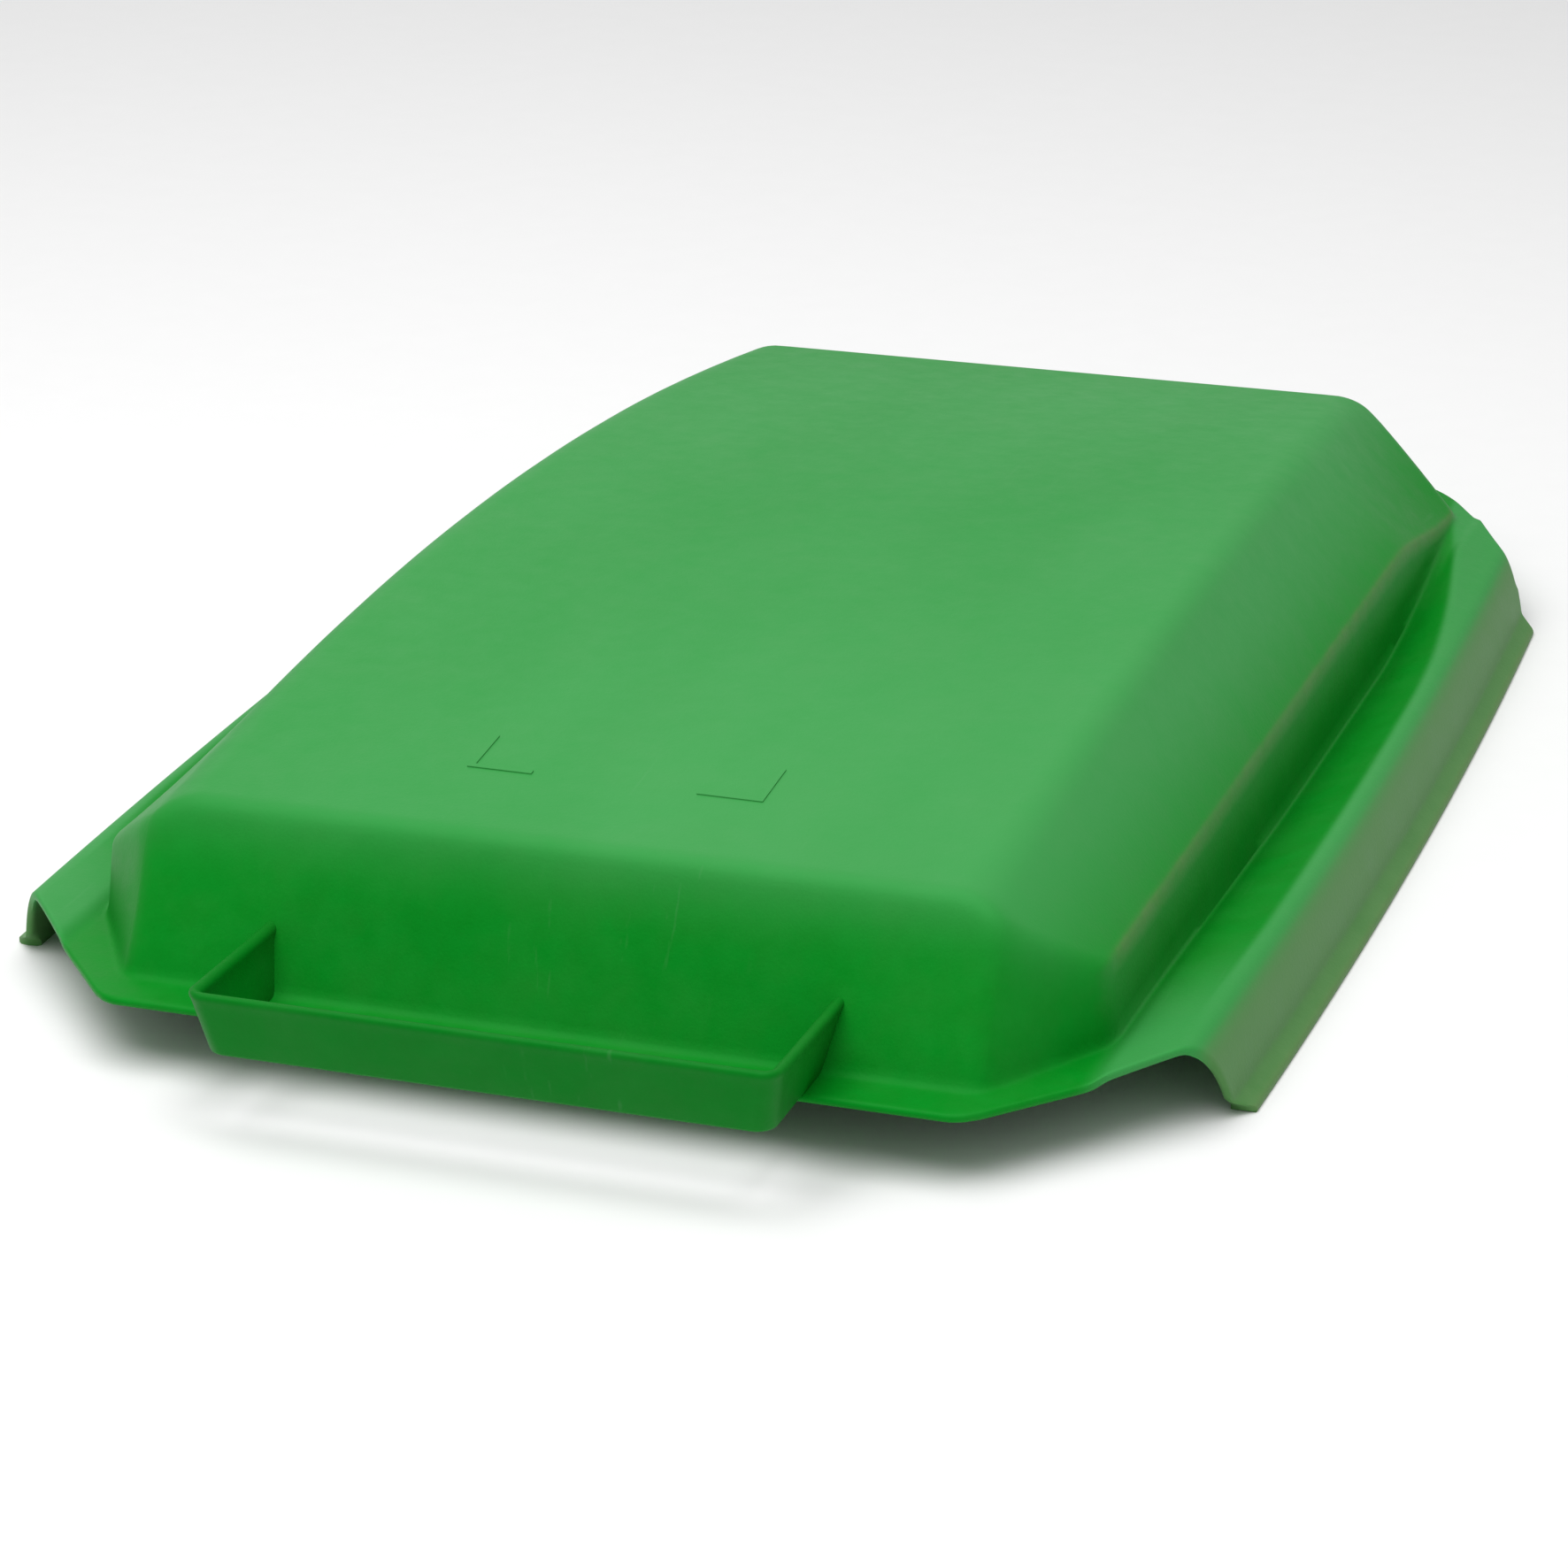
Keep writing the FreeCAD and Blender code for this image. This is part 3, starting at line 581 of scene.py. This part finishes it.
# ---------------------------------------------------------------- shader node helpers
class Shader:
    """A small writer of shader nodes for one material or node group."""

    def __init__(self, tree):
        self.tree = tree

    def node(self, kind, settings=None, **inputs):
        """Add a node, set its properties, and set or link its inputs by name."""
        made = self.tree.nodes.new(kind)
        for key, value in (settings or {}).items():
            setattr(made, key, value)
        for name, value in inputs.items():
            self.feed(made.inputs[name.replace("_", " ")], value)
        return made

    def feed(self, socket, value):
        """Link a socket to another, or give it a value."""
        if isinstance(value, bpy.types.NodeSocket):
            self.tree.links.new(value, socket)
        else:
            socket.default_value = value

    def math(self, operation, first, second=0.0, clamp=False):
        """One arithmetic step."""
        made = self.tree.nodes.new("ShaderNodeMath")
        made.operation = operation
        made.use_clamp = clamp
        self.feed(made.inputs[0], first)
        self.feed(made.inputs[1], second)
        return made.outputs[0]

    def mix(self, factor, first, second):
        """Blend two colours."""
        made = self.tree.nodes.new("ShaderNodeMix")
        made.data_type = "RGBA"
        self.feed(made.inputs["Factor"], factor)
        self.feed(made.inputs["A"], first)
        self.feed(made.inputs["B"], second)
        return made.outputs["Result"]

    def span(self, value, low, high, out_low=0.0, out_high=1.0):
        """Map a range of values to another, clamped."""
        made = self.tree.nodes.new("ShaderNodeMapRange")
        for name, number in zip(("From Min", "From Max", "To Min", "To Max"),
                                (low, high, out_low, out_high)):
            made.inputs[name].default_value = number
        self.feed(made.inputs["Value"], value)
        return made.outputs["Result"]

    def noise(self, where, scale, detail=2.0, rough=0.5):
        """Noise at a scale."""
        made = self.node("ShaderNodeTexNoise", Scale=scale, Detail=detail, Roughness=rough)
        self.feed(made.inputs["Vector"], where)
        return made.outputs["Fac"]


def shader_group(name, inputs, outputs):
    """An empty node group with named float inputs and outputs, and its writer."""
    group = bpy.data.node_groups.new(name, "ShaderNodeTree")
    for label, value in inputs:
        kind = "NodeSocketVector" if value is None else "NodeSocketFloat"
        socket = group.interface.new_socket(label, in_out="INPUT", socket_type=kind)
        if value is not None:
            socket.default_value = value
    for label in outputs:
        group.interface.new_socket(label, in_out="OUTPUT", socket_type="NodeSocketFloat")
    start = group.nodes.new("NodeGroupInput")
    end = group.nodes.new("NodeGroupOutput")
    return group, Shader(group), start.outputs, end.inputs


def mould_grain_group():
    """Fine spark-eroded grain, slow waviness and streaks of a large plastic moulding."""
    group, write, given, out = shader_group(
        "mould_grain", [("Place", None), ("Grain Scale", 900.0), ("Wave Scale", 14.0)],
        ["Height", "Mottle", "Flow"])
    fine = write.noise(given["Place"], given["Grain Scale"], 3.0, 0.6)
    pits = write.node("ShaderNodeTexVoronoi", {"feature": "SMOOTH_F1"}, Smoothness=0.6)
    write.feed(pits.inputs["Vector"], given["Place"])
    write.feed(pits.inputs["Scale"], write.math("MULTIPLY", given["Grain Scale"], 0.55))
    wave = write.noise(given["Place"], given["Wave Scale"], 2.0)
    grain = write.math("MULTIPLY", pits.outputs["Distance"], 0.5)
    height = write.math("ADD", write.math("ADD", fine, grain), write.math("MULTIPLY", wave, 2.5))
    write.feed(out["Height"], height)
    mottle = write.noise(given["Place"], write.math("MULTIPLY", given["Wave Scale"], 6.0), 5.0, 0.62)
    write.feed(out["Mottle"], write.span(mottle, 0.3, 0.7))
    stretched = write.node("ShaderNodeMapping")
    write.feed(stretched.inputs["Vector"], given["Place"])
    stretched.inputs["Scale"].default_value = (3.0, 1.0, 1.0)
    write.feed(out["Flow"], write.span(write.noise(stretched.outputs[0], 2.2, 3.0), 0.35, 0.65))
    return group


def handling_wear_group():
    """Scuffs along an edge mask and short scratches from handling; on the lid the edge mask also carries
    a painted highlight.
    """
    group, write, given, out = shader_group(
        "handling_wear", [("Place", None), ("Edge", 0.0), ("Scuff Scale", 60.0), ("Amount", 0.6)],
        ["Scuff", "Scratch"])
    cloud = write.noise(given["Place"], given["Scuff Scale"], 6.0, 0.7)
    patchy = write.span(cloud, 0.30, 0.66, 0.45, 1.0)
    scuff = write.math("MULTIPLY", write.math("MULTIPLY", patchy, given["Edge"]), given["Amount"], True)
    write.feed(out["Scuff"], scuff)
    turned = write.node("ShaderNodeMapping")
    write.feed(turned.inputs["Vector"], given["Place"])
    turned.inputs["Rotation"].default_value = (0.1, 0.2, 0.7)
    turned.inputs["Scale"].default_value = (90.0, 4.0, 20.0)
    lines = write.noise(turned.outputs[0], 3.0, 2.0, 0.4)
    sparse = write.span(write.noise(given["Place"], 9.0, 2.0), 0.55, 0.70)
    write.feed(out["Scratch"], write.math("MULTIPLY", write.span(lines, 0.68, 0.78), sparse))
    return group


def settled_dust_group():
    """Thin settled dust in soft clouds."""
    group, write, given, out = shader_group(
        "settled_dust", [("Place", None), ("Dust Scale", 25.0), ("Amount", 0.3)], ["Dust"])
    cloud = write.noise(given["Place"], given["Dust Scale"], 6.0, 0.65)
    write.feed(out["Dust"], write.math("MULTIPLY", write.span(cloud, 0.42, 0.75), given["Amount"], True))
    return group


GRAIN = mould_grain_group()
WEAR = handling_wear_group()
DUST = settled_dust_group()


def material_start(name):
    """A new node material: its writer, Principled shader and Object coordinates."""
    material = bpy.data.materials.new(name)
    material.use_nodes = True
    write = Shader(material.node_tree)
    shader = material.node_tree.nodes["Principled BSDF"]
    place = write.node("ShaderNodeTexCoord").outputs["Object"]
    return material, write, shader, place


def use_group(write, group, place, **inputs):
    """Put a shared group into a material with its own values."""
    made = write.node("ShaderNodeGroup", {"node_tree": group}, Place=place, **inputs)
    return made.outputs


def bumped(write, shader, height, strength, distance):
    """Feed a height to the shader's normal."""
    bump = write.node("ShaderNodeBump", Strength=strength, Distance=distance, Height=height)
    write.feed(shader.inputs["Normal"], bump.outputs["Normal"])


def toned(colour, painted_shade):
    """A colour made darker or lighter; the grip's darker copy is painted shade."""
    return tuple(part * painted_shade for part in colour) + (1,)


def lid_polyethylene(name, sheen_all, painted_shade):
    """Green moulded polyethylene: deep green, with a painted paler sheen on the top and a painted olive
    reflection on the skirts.
    """
    material, write, shader, place = material_start(name)
    grain = use_group(write, GRAIN, place, Grain_Scale=850.0, Wave_Scale=11.0)
    wear_and_highlight = write.node("ShaderNodeAttribute", {"attribute_name": "wear_and_highlight"}).outputs["Fac"]
    skirt = write.node("ShaderNodeAttribute", {"attribute_name": "skirt"}).outputs["Fac"]
    painted_sheen = write.node("ShaderNodeAttribute", {"attribute_name": "painted_sheen"}).outputs["Fac"]
    wear = use_group(write, WEAR, place, Edge=wear_and_highlight, Scuff_Scale=70.0, Amount=0.55)
    dust = use_group(write, DUST, place, Dust_Scale=18.0, Amount=0.05)
    # The deep green, darkened in the grip's copy to paint the shade on its band.
    deep = write.mix(grain["Mottle"], toned((0.0, 0.212, 0.009), painted_shade),
                     toned((0.0, 0.232, 0.012), painted_shade))
    # Paler green for the painted sheen on the top and flanges.
    sheen_green = write.mix(grain["Flow"], (0.032, 0.276, 0.054, 1), (0.046, 0.300, 0.070, 1))
    colour = write.mix(write.math("ADD", painted_sheen, sheen_all, True), deep, sheen_green)
    # Olive for the painted warm reflection on the skirts.
    olive = write.mix(grain["Mottle"], (0.085, 0.190, 0.055, 1), (0.110, 0.215, 0.075, 1))
    colour = write.mix(write.math("MULTIPLY", skirt, 0.75), colour, olive)
    # Pale brownish colour along the edge mask: a painted highlight on the crisp break edge, real scuffs
    # at the skirt's foot.
    colour = write.mix(wear["Scuff"], colour, (0.17, 0.21, 0.085, 1))
    colour = write.mix(write.math("MULTIPLY", wear["Scratch"], 0.12), colour, (0.16, 0.36, 0.18, 1))
    colour = write.mix(dust["Dust"], colour, (0.16, 0.28, 0.14, 1))
    write.feed(shader.inputs["Base Color"], colour)
    rough = write.math("ADD", write.span(grain["Mottle"], 0, 1, 0.44, 0.54),
                       write.math("MULTIPLY", wear["Scuff"], 0.15))
    write.feed(shader.inputs["Roughness"], rough)
    shader.inputs["Specular IOR Level"].default_value = 0.20
    shader.inputs["Specular Tint"].default_value = (0.25, 1.0, 0.40, 1)
    bumped(write, shader, grain["Height"], 0.22, 0.00035)
    return material


def pin_nylon():
    """Dark nylon of the hinge pins, with turning marks and a light rub where they bear."""
    material, write, shader, place = material_start("dark_nylon")
    grain = use_group(write, GRAIN, place, Grain_Scale=1400.0, Wave_Scale=60.0)
    wear = use_group(write, WEAR, place, Edge=0.5, Scuff_Scale=160.0, Amount=0.5)
    rings = write.node("ShaderNodeTexWave", {"bands_direction": "X"}, Scale=320.0, Distortion=1.5)
    write.feed(rings.inputs["Vector"], place)
    colour = write.mix(grain["Mottle"], (0.010, 0.011, 0.011, 1), (0.022, 0.024, 0.023, 1))
    colour = write.mix(wear["Scuff"], colour, (0.075, 0.078, 0.074, 1))
    write.feed(shader.inputs["Base Color"], colour)
    write.feed(shader.inputs["Roughness"], write.span(grain["Mottle"], 0, 1, 0.34, 0.46))
    height = write.math("ADD", grain["Height"], write.math("MULTIPLY", rings.outputs["Fac"], 0.6))
    bumped(write, shader, height, 0.2, 0.0002)
    return material


def buffer_rubber():
    """Black rubber of the rim buffers, matt and dusty."""
    material, write, shader, place = material_start("black_rubber")
    grain = use_group(write, GRAIN, place, Grain_Scale=1900.0, Wave_Scale=90.0)
    dust = use_group(write, DUST, place, Dust_Scale=120.0, Amount=0.5)
    colour = write.mix(grain["Mottle"], (0.009, 0.009, 0.009, 1), (0.018, 0.018, 0.018, 1))
    colour = write.mix(dust["Dust"], colour, (0.060, 0.058, 0.052, 1))
    write.feed(shader.inputs["Base Color"], colour)
    write.feed(shader.inputs["Roughness"], write.span(dust["Dust"], 0, 0.5, 0.62, 0.85))
    bumped(write, shader, grain["Height"], 0.35, 0.00025)
    return material


# ---------------------------------------------------------------- geometry node helpers
def socket_id(tree, name):
    """Identifier of a geometry tree's named input."""
    for item in tree.interface.items_tree:
        if item.item_type == "SOCKET" and item.in_out == "INPUT" and item.name == name:
            return item.identifier
    raise KeyError(name)


def geometry_tree(name, inputs):
    """A geometry node tree with a Geometry output and the named inputs."""
    tree = bpy.data.node_groups.new(name, "GeometryNodeTree")
    tree.interface.new_socket("Geometry", in_out="OUTPUT", socket_type="NodeSocketGeometry")
    for label, kind in inputs:
        tree.interface.new_socket(label, in_out="INPUT", socket_type="NodeSocket" + kind)
    return tree, tree.nodes.new("NodeGroupInput").outputs, tree.nodes.new("NodeGroupOutput").inputs


def made_by(tree, name, values):
    """Run a geometry tree with these values, and keep its result as a plain mesh piece."""
    holder = mesh_piece(name + "_source", [], [])
    modifier = holder.modifiers.new("made", "NODES")
    modifier.node_group = tree
    for label, value in values.items():
        modifier[socket_id(tree, label)] = value
    bpy.context.view_layer.update()
    shown = holder.evaluated_get(bpy.context.evaluated_depsgraph_get())
    mesh = bpy.data.meshes.new_from_object(shown)
    mesh.name = name
    bpy.data.objects.remove(holder)
    piece = bpy.data.objects.new(name, mesh)
    bpy.context.scene.collection.objects.link(piece)
    return piece


def link_all(tree, pairs):
    """Link sockets in pairs, from and to."""
    for start, end in pairs:
        tree.links.new(start, end)


def buffer_profile():
    """Half section of one rubber buffer, from its tip's middle up to its plug's middle."""
    low, top = BUFFERS_LOW.z, BUFFERS_HIGH.z
    head, plug, rounding = 0.009, 0.0058, 0.0018
    seat = low + 0.006
    turn = [math.radians(a) for a in range(-90, 1, 15)]
    edge = [(head - rounding + rounding * math.cos(a), low + rounding * (1 + math.sin(a))) for a in turn]
    return ([(0.0, low + 0.0006), (0.004, low + 0.0006), (0.0052, low)] + edge
            + [(head, seat - 0.0006), (head - 0.0006, seat), (plug, seat), (plug, top - 0.0008),
               (plug - 0.0008, top), (0.0, top)])


def turned_buffer():
    """One rubber buffer turned about its own axis at the origin, for the tree to copy."""
    profile, steps = buffer_profile(), 36
    points = [(0.0, 0.0, profile[0][1]), (0.0, 0.0, profile[-1][1])]
    ring = profile[1:-1]
    for step in range(steps):
        angle = 2 * math.pi * step / steps
        points += [(r * math.cos(angle), r * math.sin(angle), z) for r, z in ring]
    count, faces = len(ring), []
    for step in range(steps):
        a, b = 2 + step * count, 2 + (step + 1) % steps * count
        faces.append((0, b, a))
        faces.append((1, a + count - 1, b + count - 1))
        faces += [(a + i, b + i, b + i + 1, a + i + 1) for i in range(count - 1)]
    piece = mesh_piece("buffer_pattern", points, faces)
    outwards(piece.data)
    smooth(piece.data, 40)
    return piece


def buffer_points():
    """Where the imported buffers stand: the middle of each loose part of their node."""
    work = bmesh.new()
    work.from_mesh(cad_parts["rim_buffers"].data)
    bmesh.ops.remove_doubles(work, verts=work.verts, dist=1e-6)
    found, seen = [], set()
    for start in work.verts:
        if start in seen:
            continue
        reached, group = [start], []
        seen.add(start)
        while reached:
            vert = reached.pop()
            group.append(vert.co.copy())
            for edge in vert.link_edges:
                other = edge.other_vert(vert)
                if other not in seen:
                    seen.add(other)
                    reached.append(other)
        lows = [min(p[i] for p in group) for i in range(2)]
        highs = [max(p[i] for p in group) for i in range(2)]
        found.append(((lows[0] + highs[0]) / 2, (lows[1] + highs[1]) / 2, 0.0))
    work.free()
    return sorted(found)


def rim_buffers(material):
    """The rubber buffers, one copy on each of their places."""
    pattern = turned_buffer()
    marks = mesh_piece("buffer_marks", buffer_points(), [])
    tree, given, out = geometry_tree(
        "buffers_on_marks", [("Marks", "Object"), ("Pattern", "Object"), ("Finish", "Material")])
    nodes = tree.nodes
    places, shape = nodes.new("GeometryNodeObjectInfo"), nodes.new("GeometryNodeObjectInfo")
    copies = nodes.new("GeometryNodeInstanceOnPoints")
    real, finish = nodes.new("GeometryNodeRealizeInstances"), nodes.new("GeometryNodeSetMaterial")
    link_all(tree, [
        (given["Marks"], places.inputs["Object"]), (given["Pattern"], shape.inputs["Object"]),
        (places.outputs["Geometry"], copies.inputs["Points"]),
        (shape.outputs["Geometry"], copies.inputs["Instance"]),
        (copies.outputs["Instances"], real.inputs["Geometry"]),
        (real.outputs["Geometry"], finish.inputs["Geometry"]),
        (given["Finish"], finish.inputs["Material"]), (finish.outputs["Geometry"], out["Geometry"]),
    ])
    piece = made_by(tree, "rubber_rim_buffers", {"Marks": marks, "Pattern": pattern, "Finish": material})
    bpy.data.objects.remove(pattern)
    bpy.data.objects.remove(marks)
    smooth(piece.data, 40)
    return piece


# ---------------------------------------------------------------- stage, light and camera
CAMERA_TURN = 20.19         # degrees round from straight in front
CAMERA_LIFT = 22.39
CAMERA_ROLL = -1.14
CAMERA_DISTANCE = 2.489
CAMERA_LENS = 113.86
CAMERA_AIM = (-0.0205, -0.0010, 0.0013)


def camera():
    """The camera, turned and lifted round a point near the lid's middle."""
    data = bpy.data.cameras.new("lid_camera")
    data.lens = CAMERA_LENS
    data.sensor_width = 36.0
    data.dof.use_dof = False
    turn, lift = math.radians(CAMERA_TURN), math.radians(CAMERA_LIFT)
    back = Vector((math.sin(turn) * math.cos(lift), -math.cos(turn) * math.cos(lift), math.sin(lift)))
    made = bpy.data.objects.new("lid_camera", data)
    made.location = Vector(CAMERA_AIM) + back * CAMERA_DISTANCE
    made.rotation_mode = "QUATERNION"
    level = (-back).to_track_quat("-Z", "Y")
    made.rotation_quaternion = level @ Quaternion((0, 0, 1), math.radians(CAMERA_ROLL))
    bpy.context.scene.collection.objects.link(made)
    bpy.context.scene.camera = made


def softbox(name, place, aim, size, watts):
    """A square area light pointed at a place."""
    data = bpy.data.lights.new(name, "AREA")
    data.size = size
    data.energy = watts
    made = bpy.data.objects.new(name, data)
    made.location = place
    made.rotation_mode = "QUATERNION"
    made.rotation_quaternion = (Vector(aim) - Vector(place)).to_track_quat("-Z", "Y")
    bpy.context.scene.collection.objects.link(made)


def stage():
    """Pale floor, soft light from above and a little from behind."""
    half = 8.0
    corners = [(-half, -half, 0), (half, -half, 0), (half, half, 0), (-half, half, 0)]
    floor = mesh_piece("studio_floor", corners, [(0, 1, 2, 3)])
    material, write, shader, place = material_start("pale_floor")
    speckle = write.noise(place, 40.0, 4.0)
    write.feed(shader.inputs["Base Color"],
               write.mix(speckle, (0.86, 0.86, 0.86, 1), (0.88, 0.88, 0.88, 1)))
    shader.inputs["Roughness"].default_value = 0.9
    shader.inputs["Specular IOR Level"].default_value = 0.1
    floor.data.materials.append(material)
    world = bpy.data.worlds.new("studio")
    bpy.context.scene.world = world
    world.use_nodes = True
    world.node_tree.nodes["Background"].inputs["Color"].default_value = (1.0, 1.0, 1.0, 1)
    world.node_tree.nodes["Background"].inputs["Strength"].default_value = 0.50
    softbox("overhead", (-0.2, -0.6, 2.4), (0, 0, 0), 2.6, 62.0)
    softbox("back_left", (-2.2, 2.4, 1.9), (0, 0, 0.05), 1.8, 6.0)
    bpy.context.scene.view_settings.view_transform = "Standard"


def give(piece, material, body):
    """Give a new piece its finish and body."""
    piece.data.materials.clear()
    piece.data.materials.append(material)
    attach(piece, body)


def refinish(node, material):
    """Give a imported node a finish."""
    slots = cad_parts[node].material_slots
    for slot in slots:
        slot.link = "OBJECT"
        slot.material = material


GREEN = lid_polyethylene("green_polyethylene", 0.0, 1.0)
# Darker copy: painted shade on the grip's band.
SHADED_GRIP_GREEN = lid_polyethylene("shaded_grip_polyethylene", 0.0, 0.76)
# Copy with the painted sheen all over, for the label marks on the top.
SHEEN_GREEN = lid_polyethylene("sheen_polyethylene", 1.0, 1.0)
NYLON = pin_nylon()
RUBBER = buffer_rubber()

shell = lid_moulding()
give(shell, GREEN, "lid")
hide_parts("lid_shell")
grip = grip_loop()
give(grip, SHADED_GRIP_GREEN, "lid")
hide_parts("front_grip")
buffers = rim_buffers(RUBBER)
give(buffers, RUBBER, "lid")
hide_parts("rim_buffers")
refinish("label_corner_marks", SHEEN_GREEN)
for node in ("underside_ribs", "hinge_barrel_left", "hinge_barrel_right"):
    refinish(node, GREEN)
for node in ("hinge_pin_left", "hinge_pin_right"):
    refinish(node, NYLON)

camera()
stage()
